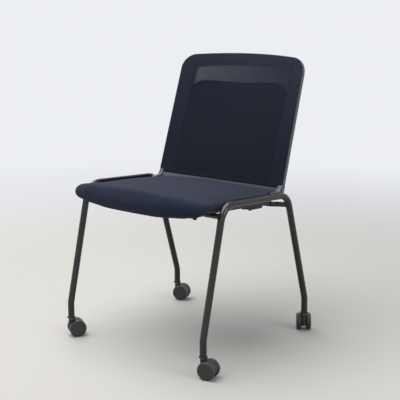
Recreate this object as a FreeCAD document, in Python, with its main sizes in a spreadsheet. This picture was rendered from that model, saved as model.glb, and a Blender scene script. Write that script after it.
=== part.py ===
import FreeCAD, Part
import math
import os

import Sketcher

doc = FreeCAD.newDocument("NestingChair")

# Driving sizes: lengths in millimetres, angles in degrees.
# Row frame: X across the chair, front is -Y, Z up, floor at zero, origin midway between the legs.
sizes = {
    # Bent side tubes
    "frameSpan": 508.0,
    "frameDepth": 480.0,
    "tubeDiameter": 19.1,
    "tubeWall": 1.6,
    "tubeEndHeight": 59.0,
    "legKinkHeight": 103.0,
    "frontBendInset": 82.9,
    "frontBendHeight": 451.0,
    "rearBendInset": 103.0,
    "rearBendHeight": 435.1,
    "frontBendRadius": 52.0,
    "rearBendRadius": 50.0,
    "kinkRadius": 60.0,
    # Cross tubes between the side tubes
    "crossDiameter": 15.0,
    "crossWall": 1.5,
    "weldGap": 0.25,
    "frontCrossHeight": 421.0,
    "rearCrossHeight": 405.3,
    "rearCrossBow": 30.0,
    "rearCrossStraight": 207.0,
    "rearCrossBendRadius": 28.0,
    # Seat pan and cushion, measured in the seat's own tilted frame
    "restGap": 0.3,
    "panThickness": 7.0,
    "panFront": 40.0,
    "panSideInset": 8.0,
    "panRearOverlap": 7.0,
    "panCornerRadius": 30.0,
    "seatSideGap": 2.4,
    "seatEdgeHeight": 32.5,
    "seatCrown": 12.0,
    "seatCrownRadius": 2660.0,
    "seatRearOverlap": 9.5,
    "seatFrontHalfWidth": 252.0,
    "seatFrontCorner": 60.0,
    "seatFrontBow": 71.0,
    "seatFrontBowRadius": 760.0,
    "seatCornerRadius": 42.0,
    "lipDepth": 19.0,
    "lipRear": 46.0,
    "lipFront": 104.0,
    "lipFlat": 130.0,
    "lipCornerRise": 20.0,
    "lipInnerRadius": 3.0,
    "lipHeelSlope": 8.0,
    "lipHeelRadius": 11.0,
    "lipToeInset": 16.0,
    "lipToeRise": 27.0,
    "lipToeRadius": 22.0,
    "lipFaceRadius": 26.0,
    "lipTopInset": 10.0,
    "lipTopRadius": 30.0,
    "lipFlatRadius": 900.0,
    "seatFlareFront": 24.0,
    "seatFlareRear": 10.5,
    "seatFlareRadius": 10.0,
    "seatSmallRadius": 8.0,
    "trimSpare": 6.0,
    # Front clamps and stacking bumpers
    "clampOffset": 163.0,
    "clampWidth": 26.0,
    "clampLength": 44.0,
    "clampFloor": 4.0,
    "clampScrewSpacing": 28.0,
    "clampRadius": 4.0,
    "clampEdge": 1.5,
    "bumperDiameter": 13.0,
    "bumperHeight": 9.0,
    "bumperTaper": 1.3,
    "bumperRadius": 2.0,
    # Back panel, measured in the back's own leaning frame
    "backAngle": 19.2,
    "backBehindTube": 24.1,
    "backAboveTube": 23.2,
    "backHalfWidthBottom": 236.5,
    "backHalfWidthTop": 228.5,
    "backHeight": 422.0,
    "backCrown": 22.0,
    "backCrownRadius": 1130.0,
    "backCornerRadius": 52.0,
    "backFootRadius": 10.0,
    "backHollow": 44.0,
    "ringDepth": 14.0,
    "ringSide": 48.0,
    "ringTop": 31.0,
    "ringBottom": 30.0,
    "slabSpare": 2.0,
    "meshFoot": 23.0,
    "crownSlope": 0.158,
    "windowRadius": 8.0,
    "windowCrownRadius": 880.0,
    "meshThickness": 1.2,
    "meshGap": 0.1,
    "padTop": 330.0,
    "padCornerRadius": 46.0,
    "boardThickness": 2.0,
    "boardOverlap": 10.0,
    "boardClearance": 2.0,
    "wingReach": 38.0,
    "wingThickness": 9.0,
    "wingRise": 30.0,
    "wingWidth": 14.0,
    "wingSideInset": 1.0,
    "wingShoulder": 5.0,
    "wingShoulderRadius": 10.0,
    "wingTipRadius": 3.0,
    # Arms that hook under the rear cross tube and hold the back
    "armOffset": 150.0,
    "armWidth": 42.0,
    "armFloor": 11.0,
    "armWall": 12.0,
    "armReach": 46.0,
    "armBossLength": 30.0,
    "tongueLength": 32.0,
    "tongueThickness": 6.0,
    "tongueEdge": 2.0,
    "tongueRootRadius": 12.0,
    "armHeelRadius": 9.0,
    "armToeRadius": 5.0,
    "armWallRadius": 6.0,
    "armHookRadius": 4.0,
    "armBossEdge": 1.0,
    # Screws
    "screwShank": 5.0,
    "screwHead": 9.0,
    "screwHeadHeight": 3.2,
    "screwKey": 3.0,
    "screwKeyDepth": 1.8,
    "holeGap": 0.1,
    "panScrewBite": 5.0,
    "tongueScrewBite": 7.0,
    "tongueScrewSpacing": 24.0,
    "tongueScrewRise": 16.0,
    # Casters
    "wheelDiameter": 50.0,
    "wheelWidth": 13.0,
    "wheelBevel": 2.4,
    "wheelHubDiameter": 15.0,
    "wheelRim": 4.5,
    "wheelFace": 3.5,
    "wheelTreadRadius": 1.3,
    "wheelCornerRadius": 0.8,
    "hoodWidth": 16.4,
    "hoodTop": 51.6,
    "hoodFloor": 11.0,
    "hoodCover": 23.5,
    "hoodHeelRise": 6.0,
    "hoodHeelReach": 8.0,
    "hoodToeReach": 13.0,
    "hoodShoulder": 9.9,
    "hoodRadius": 13.0,
    "hoodEdgeRadius": 4.0,
    "wheelGap": 0.3,
    "casterTrail": 16.0,
    "axleDiameter": 6.0,
    "axleEndWall": 2.0,
    "runningGap": 0.05,
    "pressGap": 0.02,
    "stemDiameter": 8.0,
    "stemInHood": 16.0,
    "stemInSocket": 27.0,
    "stemCollarDiameter": 14.0,
    "socketFlangeDiameter": 24.0,
    "socketFlangeHeight": 4.0,
    "socketDepth": 30.0,
    "socketGap": 0.1,
    "turnedEdge": 0.6,
    "flangeEdge": 1.2,
    # How far each caster is turned as it stands, from +X towards +Y
    "swivelFrontLeft": 60.0,
    "swivelFrontRight": 12.0,
    "swivelRearLeft": 20.0,
    "swivelRearRight": 128.0,
}

sheet = doc.addObject("Spreadsheet::Sheet", "Sizes")
for row, (alias, number) in enumerate(sizes.items(), start=1):
    sheet.set("A%d" % row, alias)
    sheet.set("B%d" % row, str(number))
    sheet.setAlias("B%d" % row, alias)
doc.recompute()


class Measure:
    """A length or ratio kept both as a number and as the sheet expression that gives it."""

    def __init__(self, value, text):
        self.value = float(value)
        self.text = text

    def __add__(self, other):
        other = measure(other)
        return Measure(self.value + other.value, "(%s + %s)" % (self.text, other.text))

    def __sub__(self, other):
        other = measure(other)
        return Measure(self.value - other.value, "(%s - %s)" % (self.text, other.text))

    def __mul__(self, other):
        other = measure(other)
        return Measure(self.value * other.value, "(%s * %s)" % (self.text, other.text))

    def __truediv__(self, other):
        other = measure(other)
        return Measure(self.value / other.value, "(%s / %s)" % (self.text, other.text))

    def __neg__(self):
        return Measure(-self.value, "(0 - %s)" % self.text)

    def __radd__(self, other):
        return measure(other) + self

    def __rsub__(self, other):
        return measure(other) - self

    def __rmul__(self, other):
        return measure(other) * self


def measure(thing):
    if isinstance(thing, Measure):
        return thing
    return Measure(thing, repr(float(thing)))


def size(alias):
    return Measure(sheet.get(alias), "Sizes." + alias)


def sineOf(angle):
    angle = measure(angle)
    return Measure(math.sin(math.radians(angle.value)), "sin(%s)" % angle.text)


def cosineOf(angle):
    angle = measure(angle)
    return Measure(math.cos(math.radians(angle.value)), "cos(%s)" % angle.text)


def slopeAngle(rise, run):
    ratio = measure(rise) / run
    return Measure(math.degrees(math.atan(ratio.value)), "(atan(%s) / 1 deg)" % ratio.text)


def rootOf(square):
    return Measure(math.sqrt(square.value), "sqrt(%s)" % square.text)


subparts = []


def bind(thing, prop, amount):
    amount = measure(amount)
    thing.setExpression(prop, amount.text)


def place(thing, x, y, z, axis=FreeCAD.Vector(1, 0, 0), angle=0.0):
    """Puts a piece at x, y, z, turned about the axis, all bound to the sheet."""
    x, y, z, angle = measure(x), measure(y), measure(z), measure(angle)
    turn = FreeCAD.Rotation(axis, angle.value if angle.value else 1.0)
    thing.Placement = FreeCAD.Placement(FreeCAD.Vector(x.value, y.value, z.value), turn)
    bind(thing, "Placement.Base.x", x)
    bind(thing, "Placement.Base.y", y)
    bind(thing, "Placement.Base.z", z)
    bind(thing, "Placement.Rotation.Angle", angle)


def keep(thing, label):
    """Marks a finished piece for export under its own name."""
    thing.Label = label
    subparts.append(thing)
    return thing


def newBody(name):
    return doc.addObject("PartDesign::Body", name)


def newSketch(body, role, offset=0.0):
    """A sketch on one of the body's origin planes, shifted along that plane's normal."""
    plane = [f for f in body.Origin.OriginFeatures if f.Role == role][0]
    sketch = body.newObject("Sketcher::SketchObject", "Sketch")
    sketch.AttachmentSupport = [(plane, "")]
    sketch.MapMode = "FlatFace"
    offset = measure(offset)
    if offset.value:
        sketch.AttachmentOffset = FreeCAD.Placement(
            FreeCAD.Vector(0, 0, offset.value), FreeCAD.Rotation()
        )
        bind(sketch, "AttachmentOffset.Base.z", offset)
    return sketch


def addRule(sketch, amount, kind, *where):
    """Adds one driving dimension and binds it to the sheet."""
    amount = measure(amount)
    number = sketch.addConstraint(Sketcher.Constraint(kind, *where, amount.value))
    if "Sizes." in amount.text:
        rule = "rule%d" % number
        sketch.renameConstraint(number, rule)
        bind(sketch, "Constraints." + rule, amount)


def fixPoint(sketch, item, end, x, y):
    """Holds a sketch point at x, y measured from the sketch's origin."""
    if measure(x).value == 0.0:
        sketch.addConstraint(Sketcher.Constraint("PointOnObject", item, end, -2))
    else:
        addRule(sketch, x, "DistanceX", -1, 1, item, end)
    if measure(y).value == 0.0:
        sketch.addConstraint(Sketcher.Constraint("PointOnObject", item, end, -1))
    else:
        addRule(sketch, y, "DistanceY", -1, 1, item, end)


def roundedCorner(before, corner, after, radius):
    """Where a fillet of this radius leaves its two lines, its centre, and whether it turns left."""
    toBefore = (before - corner).normalize()
    toAfter = (after - corner).normalize()
    half = toBefore.getAngle(toAfter) / 2
    reach = radius / math.tan(half)
    middle = (toBefore + toAfter).normalize()
    centre = corner + middle * (radius / math.sin(half))
    turnsLeft = (corner - before).cross(after - corner).z > 0
    return corner + toBefore * reach, corner + toAfter * reach, centre, turnsLeft


def addOutline(sketch, corners, closed=True):
    """Straight lines through corners (x, y) or (x, y, radius), with an arc at each radius."""
    spots = [FreeCAD.Vector(measure(c[0]).value, measure(c[1]).value, 0) for c in corners]
    count = len(corners)
    rounded = [len(c) == 3 for c in corners]
    bends = {}
    for i, corner in enumerate(corners):
        if rounded[i]:
            bends[i] = roundedCorner(
                spots[i - 1], spots[i], spots[(i + 1) % count], measure(corner[2]).value
            )
    lines = []
    for i in range(count if closed else count - 1):
        j = (i + 1) % count
        start = bends[i][1] if i in bends else spots[i]
        end = bends[j][0] if j in bends else spots[j]
        lines.append(sketch.addGeometry(Part.LineSegment(start, end), False))
    for i, corner in enumerate(corners):
        after = lines[i] if i < len(lines) else None
        before = lines[i - 1] if closed or i > 0 else None
        if i not in bends:
            if before is not None and after is not None:
                sketch.addConstraint(Sketcher.Constraint("Coincident", before, 2, after, 1))
            if after is not None:
                fixPoint(sketch, after, 1, corner[0], corner[1])
            else:
                fixPoint(sketch, before, 2, corner[0], corner[1])
            continue
        enter, leave, centre, turnsLeft = bends[i]
        first, last = (enter, leave) if turnsLeft else (leave, enter)
        spread = (first - centre).getAngle(last - centre)
        startAngle = math.atan2(first.y - centre.y, first.x - centre.x)
        circle = Part.Circle(centre, FreeCAD.Vector(0, 0, 1), measure(corner[2]).value)
        arc = sketch.addGeometry(Part.ArcOfCircle(circle, startAngle, startAngle + spread), False)
        tip = sketch.addGeometry(Part.Point(spots[i]), True)
        enterEnd, leaveEnd = (1, 2) if turnsLeft else (2, 1)
        sketch.addConstraint(Sketcher.Constraint("Tangent", before, 2, arc, enterEnd))
        sketch.addConstraint(Sketcher.Constraint("Tangent", arc, leaveEnd, after, 1))
        fixPoint(sketch, tip, 1, corner[0], corner[1])
        sketch.addConstraint(Sketcher.Constraint("PointOnObject", tip, 1, before))
        sketch.addConstraint(Sketcher.Constraint("PointOnObject", tip, 1, after))
        addRule(sketch, corner[2], "Radius", arc)


def addCircle(sketch, x, y, radius):
    centre = FreeCAD.Vector(measure(x).value, measure(y).value, 0)
    circle = sketch.addGeometry(
        Part.Circle(centre, FreeCAD.Vector(0, 0, 1), measure(radius).value), False
    )
    fixPoint(sketch, circle, 3, x, y)
    addRule(sketch, radius, "Radius", circle)


def mirrored(corners):
    """Adds the left half to a right half that runs from bottom to top of the sketch."""
    left = [(-measure(c[0]),) + tuple(c[1:]) for c in reversed(corners) if measure(c[0]).value != 0.0]
    return list(corners) + left


def addPad(body, sketch, length, symmetric=True):
    feature = body.newObject("PartDesign::Pad", "Pad")
    feature.Profile = sketch
    bind(feature, "Length", length)
    feature.SideType = "Symmetric" if symmetric else "One side"
    return feature


def addPocket(body, sketch, length, symmetric=True):
    feature = body.newObject("PartDesign::Pocket", "Pocket")
    feature.Profile = sketch
    bind(feature, "Length", length)
    feature.SideType = "Symmetric" if symmetric else "One side"
    return feature


def addTurned(body, sketch):
    """Turns the profile about the sketch's own upright axis."""
    feature = body.newObject("PartDesign::Revolution", "Revolution")
    feature.Profile = sketch
    feature.ReferenceAxis = (sketch, ["V_Axis"])
    feature.Angle = 360.0
    return feature


def addPipe(body, path, section):
    feature = body.newObject("PartDesign::AdditivePipe", "Pipe")
    feature.Profile = section
    feature.Spine = (path, [])
    return feature


# Places worked out once from the driving sizes
halfSpan = size("frameSpan") / 2
halfDepth = size("frameDepth") / 2
tubeRadius = size("tubeDiameter") / 2
crossRadius = size("crossDiameter") / 2
frontLegRise = size("frontBendHeight") - size("legKinkHeight")
rearLegRise = size("rearBendHeight") - size("legKinkHeight")
frontCrossSlope = (size("frontCrossHeight") - size("legKinkHeight")) / frontLegRise
frontCrossDepth = size("frontBendInset") * frontCrossSlope - halfDepth
rearCrossSlope = (size("rearCrossHeight") - size("legKinkHeight")) / rearLegRise
rearCrossEnd = halfDepth - size("rearBendInset") * rearCrossSlope
rearCrossDepth = rearCrossEnd - size("rearCrossBow")
seatRun = rearCrossDepth - frontCrossDepth
seatDrop = size("frontCrossHeight") - size("rearCrossHeight")
seatLength = rootOf(seatRun * seatRun + seatDrop * seatDrop)
seatTilt = slopeAngle(seatDrop, seatRun)
panBottom = crossRadius + size("restGap")
panTop = panBottom + size("panThickness")
panRear = seatLength + size("panRearOverlap")
seatRear = seatLength + size("seatRearOverlap")
seatHalfWidth = halfSpan - tubeRadius - size("seatSideGap")
backAlong = seatLength + size("backBehindTube")
backRise = size("backAboveTube")


def placeOnSeat(thing, x=0.0, y=0.0, z=0.0):
    """The seat's frame starts on the front cross bar's axis and runs back to the rear cross tube."""
    along, up = measure(y), measure(z)
    place(
        thing,
        x,
        frontCrossDepth + (along * seatRun + up * seatDrop) / seatLength,
        size("frontCrossHeight") + (up * seatRun - along * seatDrop) / seatLength,
        angle=-seatTilt,
    )


def placeOnBack(thing):
    """The back's frame starts at the panel's rear lower edge and leans back from the seat."""
    place(
        thing,
        0.0,
        frontCrossDepth + (backAlong * seatRun + backRise * seatDrop) / seatLength,
        size("frontCrossHeight") + (backRise * seatRun - backAlong * seatDrop) / seatLength,
        angle=-(seatTilt + size("backAngle")),
    )


# Bent side tubes: front foot, up and back, along the seat, down and back to the rear foot
def makeBentTube(name, side, radii):
    body = newBody(name)
    foot = size("legKinkHeight") - size("tubeEndHeight")
    frontTop = size("frontBendHeight") - size("tubeEndHeight")
    rearTop = size("rearBendHeight") - size("tubeEndHeight")
    path = newSketch(body, "YZ_Plane")
    addOutline(
        path,
        [
            (-halfDepth, 0.0),
            (-halfDepth, foot, size("kinkRadius")),
            (size("frontBendInset") - halfDepth, frontTop, size("frontBendRadius")),
            (halfDepth - size("rearBendInset"), rearTop, size("rearBendRadius")),
            (halfDepth, foot, size("kinkRadius")),
            (halfDepth, 0.0),
        ],
        closed=False,
    )
    section = newSketch(body, "XY_Plane")
    for radius in radii:
        addCircle(section, 0.0, -halfDepth, radius)
    addPipe(body, path, section)
    place(body, halfSpan * side, 0.0, size("tubeEndHeight"))
    return body


def makeSideFrame(side, label):
    keep(makeBentTube(label, side, [tubeRadius, tubeRadius - size("tubeWall")]), label)


# The side tubes' outer shapes, which trim the ends of the cross tubes to saddles
def makeLegCores():
    cores = doc.addObject("Part::MultiFuse", "LegCores")
    cores.Shapes = [makeBentTube("LegCore", side, [tubeRadius + size("weldGap")]) for side in (-1, 1)]
    return cores


def makeFrontCross(legCores):
    body = newBody("FrontCrossBody")
    section = newSketch(body, "YZ_Plane")
    addCircle(section, 0.0, 0.0, crossRadius)
    addCircle(section, 0.0, 0.0, crossRadius - size("crossWall"))
    addPad(body, section, size("frameSpan"))
    place(body, 0.0, frontCrossDepth, size("frontCrossHeight"))
    keep(cutWith(body, legCores, "front_cross_bar"), "front_cross_bar")


def makeRearCross(legCores):
    body = newBody("RearCrossBody")
    path = newSketch(body, "XY_Plane")
    straight = size("rearCrossStraight")
    bow = size("rearCrossBow")
    bend = size("rearCrossBendRadius")
    addOutline(
        path,
        [(-halfSpan, bow), (-straight, 0.0, bend), (straight, 0.0, bend), (halfSpan, bow)],
        closed=False,
    )
    section = newSketch(body, "YZ_Plane", -halfSpan)
    addCircle(section, bow, 0.0, crossRadius)
    addCircle(section, bow, 0.0, crossRadius - size("crossWall"))
    addPipe(body, path, section)
    place(body, 0.0, rearCrossDepth, size("rearCrossHeight"))
    keep(cutWith(body, legCores, "rear_cross_tube"), "rear_cross_tube")


# Screw holes are cut with plain cylinders set in the seat's frame
def makeDrills(spots, diameter, bottom, length):
    drills = []
    for x, y in spots:
        drill = doc.addObject("Part::Cylinder", "Drill")
        bind(drill, "Radius", diameter / 2 + size("holeGap"))
        bind(drill, "Height", length)
        placeOnSeat(drill, x, y, bottom)
        drills.append(drill)
    group = doc.addObject("Part::MultiFuse", "Drills")
    group.Shapes = drills
    return group


def cutWith(base, tool, label):
    result = doc.addObject("Part::Cut", label)
    result.Base = base
    result.Tool = tool
    return result


def makeScrew(length):
    """One socket-head screw, head down at the origin, shank pointing up."""
    head = doc.addObject("Part::Cylinder", "ScrewHead")
    bind(head, "Radius", size("screwHead") / 2)
    bind(head, "Height", size("screwHeadHeight"))
    bind(head, "Placement.Base.z", -size("screwHeadHeight"))
    shank = doc.addObject("Part::Cylinder", "ScrewShank")
    bind(shank, "Radius", size("screwShank") / 2)
    bind(shank, "Height", length)
    whole = doc.addObject("Part::MultiFuse", "ScrewBlank")
    whole.Shapes = [head, shank]
    key = doc.addObject("Part::Prism", "ScrewKey")
    key.Polygon = 6
    bind(key, "Circumradius", size("screwKey") / 2)
    bind(key, "Height", size("screwKeyDepth"))
    bind(key, "Placement.Base.z", -size("screwHeadHeight"))
    return cutWith(whole, key, "Screw")


clampFloor = crossRadius + size("pressGap") + size("clampFloor")
armFloor = crossRadius + size("restGap") + size("armFloor")
clampScrewSpots = [
    (size("clampOffset") * side, size("clampScrewSpacing") / 2 * end) for side in (-1, 1) for end in (-1, 1)
]
armBossMiddle = seatLength - size("armReach") + size("armBossLength") / 2
armScrewSpots = [
    (size("armOffset") * side + size("tongueScrewSpacing") / 2 * end, armBossMiddle)
    for side in (-1, 1)
    for end in (-1, 1)
]


def makeSeatScrews():
    copies = []
    for spots, floor in ((clampScrewSpots, clampFloor), (armScrewSpots, armFloor)):
        screw = makeScrew(floor + panBottom + size("panScrewBite"))
        for x, y in spots:
            link = doc.addObject("App::Link", "ScrewLink")
            link.LinkedObject = screw
            placeOnSeat(link, x, y, -floor)
            copies.append(link)
    group = doc.addObject("Part::Compound", "seat_screws")
    group.Links = copies
    keep(group, "seat_screws")


# Seat pan: a flat moulded board resting on both cross tubes
def makeSeatPan():
    body = newBody("SeatPanBody")
    plan = newSketch(body, "XY_Plane", panBottom)
    halfWidth = seatHalfWidth - size("panSideInset")
    corner = size("panCornerRadius")
    front = -size("panFront")
    notchX = wingInner() - size("restGap") - size("panSideInset")
    notchY = panRear - size("wingReach")
    small = corner / 3
    right = [
        (halfWidth, front, corner),
        (halfWidth, notchY, small),
        (notchX, notchY, small),
        (notchX, panRear, small),
    ]
    addOutline(plan, mirrored(right))
    addPad(body, plan, size("panThickness"), symmetric=False)
    placeOnSeat(body)
    drills = makeDrills(clampScrewSpots + armScrewSpots, size("screwShank"), 0.0, panBottom + size("panScrewBite"))
    keep(cutWith(body, drills, "seat_pan"), "seat_pan")


def wingInner():
    return size("backHalfWidthBottom") - size("wingSideInset") - size("wingWidth")


# Cushion: a side profile with a deep front lip, trimmed to its plan and to its crowned front view
def makeSeatCushion():
    body = newBody("seat_cushion")
    bottom = panTop + size("restGap")
    top = size("seatEdgeHeight") + size("seatCrown")
    lip = -size("lipDepth")
    front = -size("lipFront")
    rear = seatRear
    small = size("seatSmallRadius")
    wide = size("frameSpan") * 1.2
    profile = newSketch(body, "YZ_Plane")
    addOutline(
        profile,
        [
            (rear, bottom),
            (-size("lipRear"), bottom, size("lipInnerRadius")),
            (-size("lipRear") - size("lipHeelSlope"), lip, size("lipHeelRadius")),
            (front + size("lipToeInset"), lip, size("lipToeRadius")),
            (front, lip + size("lipToeRise"), size("lipFaceRadius")),
            (front + size("lipTopInset"), top, size("lipTopRadius")),
            (rear, top, small),
        ],
    )
    addPad(body, profile, wide)
    plan = newSketch(body, "XY_Plane")
    addOutline(plan, [(-wide, -wide), (wide, -wide), (wide, wide), (-wide, wide)])
    notchX = wingInner() - size("restGap")
    notchY = rear - size("wingReach")
    frontWidth = size("seatFrontHalfWidth")
    frontCorner = -size("seatFrontCorner")
    right = [
        (0.0, frontCorner - size("seatFrontBow"), size("seatFrontBowRadius")),
        (frontWidth, frontCorner, size("seatCornerRadius")),
        (frontWidth, -size("seatFlareFront"), size("seatFlareRadius")),
        (seatHalfWidth, -size("seatFlareRear"), size("seatFlareRadius")),
        (seatHalfWidth, notchY, small),
        (notchX, notchY, small),
        (notchX, rear, small),
    ]
    addOutline(plan, mirrored(right))
    addPocket(body, plan, wide)
    view = newSketch(body, "XZ_Plane")
    addOutline(view, [(-wide, -wide), (wide, -wide), (wide, wide), (-wide, wide)])
    outer = frontWidth + size("trimSpare")
    right = [
        (size("lipFlat"), lip - size("restGap"), size("lipFlatRadius")),
        (outer, lip + size("lipCornerRise")),
        (outer, size("seatEdgeHeight")),
        (0.0, size("seatEdgeHeight") + size("seatCrown") * 5 / 3, size("seatCrownRadius")),
    ]
    addOutline(view, mirrored(right))
    addPocket(body, view, wide * 2)
    placeOnSeat(body)
    keep(body, "seat_cushion")


# Front clamps: blocks threaded on the front cross bar, screwed up into the pan
def makeSeatClamp(side, label):
    body = newBody(label + "_body")
    profile = newSketch(body, "YZ_Plane")
    half = size("clampLength") / 2
    addOutline(
        profile,
        [
            (-half, -clampFloor, size("clampRadius")),
            (half, -clampFloor, size("clampRadius")),
            (half, panBottom, size("clampEdge")),
            (-half, panBottom, size("clampEdge")),
        ],
    )
    addCircle(profile, 0.0, 0.0, crossRadius + size("pressGap"))
    addPad(body, profile, size("clampWidth"))
    placeOnSeat(body, size("clampOffset") * side)
    spots = [spot for spot in clampScrewSpots if spot[0].value * side > 0]
    drills = makeDrills(spots, size("screwShank"), -clampFloor, clampFloor + panBottom)
    keep(cutWith(body, drills, label), label)


def makeStackingBumper(side, label):
    body = newBody(label)
    profile = newSketch(body, "XZ_Plane")
    radius = size("bumperDiameter") / 2
    top = -clampFloor
    tip = top - size("bumperHeight")
    addOutline(
        profile,
        [(0.0, top), (0.0, tip), (radius - size("bumperTaper"), tip, size("bumperRadius")), (radius, top)],
    )
    addTurned(body, profile)
    placeOnSeat(body, size("clampOffset") * side)
    keep(body, label)


# Back arms: hooked behind and under the rear cross tube, with a boss up to the pan and a tongue
# lying on the back panel's lower rail
def makeBackArm(side, label):
    body = newBody(label + "_body")
    profile = newSketch(body, "YZ_Plane")
    leanSine = sineOf(size("backAngle"))
    leanCosine = cosineOf(size("backAngle"))
    gap = size("restGap")

    def onTongue(behind, up):
        y = size("backBehindTube") + leanCosine * behind + leanSine * up
        z = backRise - leanSine * behind + leanCosine * up
        return y, z

    inner = crossRadius + gap
    behindTongue = gap + size("tongueThickness")
    rearWall = inner + size("armWall")
    front = -size("armReach")
    addOutline(
        profile,
        [
            (front, -armFloor, size("armToeRadius")),
            (rearWall, -armFloor, size("armHeelRadius")),
            (rearWall, inner, size("armWallRadius")),
            onTongue(behindTongue, 0.0) + (size("tongueRootRadius"),),
            onTongue(behindTongue, size("tongueLength")) + (size("tongueEdge"),),
            onTongue(gap, size("tongueLength")) + (size("tongueEdge"),),
            onTongue(gap, -size("tongueEdge")) + (size("tongueEdge"),),
            (inner, inner, size("armHookRadius")),
            (inner, -inner, size("armHookRadius")),
            (front + size("armBossLength"), -inner, size("armHookRadius")),
            (front + size("armBossLength"), panBottom, size("armBossEdge")),
            (front, panBottom, size("armBossEdge")),
        ],
    )
    addPad(body, profile, size("armWidth"))
    placeOnSeat(body, size("armOffset") * side, seatLength)
    spots = [spot for spot in armScrewSpots if spot[0].value * side > 0]
    floorDrills = makeDrills(spots, size("screwShank"), -armFloor, armFloor + panBottom)
    tongueDrills = makeTongueDrills(side)
    both = doc.addObject("Part::MultiFuse", "ArmDrills")
    both.Shapes = [floorDrills, tongueDrills]
    keep(cutWith(body, both, label), label)


def tongueSpots(side):
    half = size("tongueScrewSpacing") / 2
    return [size("armOffset") * side - half, size("armOffset") * side + half]


# Screws through the tongues point forward, square to the back panel
def placeTongueScrew(thing, x, behind):
    """Puts a screw or its drill on the back panel, its own Z axis pointing forward."""
    lean = seatTilt + size("backAngle")
    up = size("tongueScrewRise")
    backY = frontCrossDepth + (backAlong * seatRun + backRise * seatDrop) / seatLength
    backZ = size("frontCrossHeight") + (backRise * seatRun - backAlong * seatDrop) / seatLength
    y = backY + cosineOf(lean) * behind + sineOf(lean) * up
    z = backZ - sineOf(lean) * behind + cosineOf(lean) * up
    place(thing, x, y, z, angle=90.0 - lean)


def makeTongueDrills(side):
    behind = size("restGap") + size("tongueThickness")
    drills = []
    for x in tongueSpots(side):
        drill = doc.addObject("Part::Cylinder", "Drill")
        bind(drill, "Radius", size("screwShank") / 2 + size("holeGap"))
        bind(drill, "Height", behind + size("tongueScrewBite"))
        placeTongueScrew(drill, x, behind)
        drills.append(drill)
    group = doc.addObject("Part::MultiFuse", "Drills")
    group.Shapes = drills
    return group


def makeBackScrews():
    behind = size("restGap") + size("tongueThickness")
    screw = makeScrew(behind + size("tongueScrewBite") - size("holeGap"))
    copies = []
    for side in (-1, 1):
        for x in tongueSpots(side):
            link = doc.addObject("App::Link", "ScrewLink")
            link.LinkedObject = screw
            placeTongueScrew(link, x, behind)
            copies.append(link)
    group = doc.addObject("Part::Compound", "back_screws")
    group.Links = copies
    keep(group, "back_screws")


# Back panel pieces share one hollowed slab: flat at the rail, its sides curving forward higher up
def makeBackSlab(body, rear, front):
    half = size("backHalfWidthBottom") + size("ringSide") / 2
    start = size("meshFoot") - size("slabSpare")
    reach = size("backHeight") + size("slabSpare")
    hollow = size("backHollow") * (reach - start) / (size("backHeight") - start)
    radius = (half * half + hollow * hollow) / (hollow * 2)
    foot = newSketch(body, "XY_Plane", start)
    addOutline(foot, [(half, -rear), (half, -front), (-half, -front), (-half, -rear)])
    head = newSketch(body, "XY_Plane", reach)
    ends = []
    for y in (-rear, -front):
        left = FreeCAD.Vector(-half.value, y.value - hollow.value, 0)
        right = FreeCAD.Vector(half.value, y.value - hollow.value, 0)
        middle = FreeCAD.Vector(0, y.value, 0)
        arc = head.addGeometry(Part.Arc(left, middle, right), False)
        fixPoint(head, arc, 1, half, y - hollow)
        fixPoint(head, arc, 2, -half, y - hollow)
        addRule(head, radius, "Radius", arc)
        ends.append((arc, left, right))
    for end, which in ((1, 2), (2, 1)):
        start, stop = ends[0][which], ends[1][which]
        side = head.addGeometry(Part.LineSegment(start, stop), False)
        head.addConstraint(Sketcher.Constraint("Coincident", side, 1, ends[0][0], end))
        head.addConstraint(Sketcher.Constraint("Coincident", side, 2, ends[1][0], end))
    feature = body.newObject("PartDesign::AdditiveLoft", "Loft")
    feature.Profile = foot
    feature.Sections = [(head, [""])]


def sideAt(height, inset):
    """Half width of the back panel at a height, less an inset."""
    taper = (size("backHalfWidthTop") - size("backHalfWidthBottom")) / size("backHeight")
    return size("backHalfWidthBottom") + taper * height - inset


def archOutline(bottom, inset, crownInset, corner, crown, foot=()):
    """The panel's front view from a bottom height, rounded at the top corners and crowned."""
    shoulder = size("backHeight") - size("backCrown") - crownInset
    peak = shoulder + size("crownSlope") * sideAt(shoulder, inset)
    return mirrored(
        [
            *foot,
            (sideAt(bottom, inset), bottom),
            (sideAt(shoulder, inset), shoulder, corner),
            (0.0, peak, crown),
        ]
    )


def padOutline(bottom, top, inset):
    side = size("ringSide") + inset
    return mirrored(
        [
            (sideAt(bottom, side), bottom, size("backFootRadius")),
            (sideAt(top, side), top, size("padCornerRadius")),
        ]
    )


def trimOutside(body, outline):
    view = newSketch(body, "XZ_Plane")
    far = size("backHeight") * 2
    addOutline(view, [(-far, -far), (far, -far), (far, far), (-far, far)])
    addOutline(view, outline)
    addPocket(body, view, far)


# The frame is an arch that stands on the lower rail, open to the rail at its foot
def makeBackFrame():
    body = newBody("back_frame")
    makeBackSlab(body, measure(0.0), size("ringDepth"))
    foot = size("ringBottom") + size("meshGap")
    trimOutside(body, archOutline(foot, 0.0, 0.0, size("backCornerRadius"), size("backCrownRadius")))
    window = newSketch(body, "XZ_Plane")
    inside = size("ringSide"), size("ringTop")
    addOutline(
        window,
        archOutline(size("ringBottom") / 2, *inside, size("windowRadius"), size("windowCrownRadius")),
    )
    addPocket(body, window, size("backHeight"))
    placeOnBack(body)
    keep(body, "back_frame")


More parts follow.
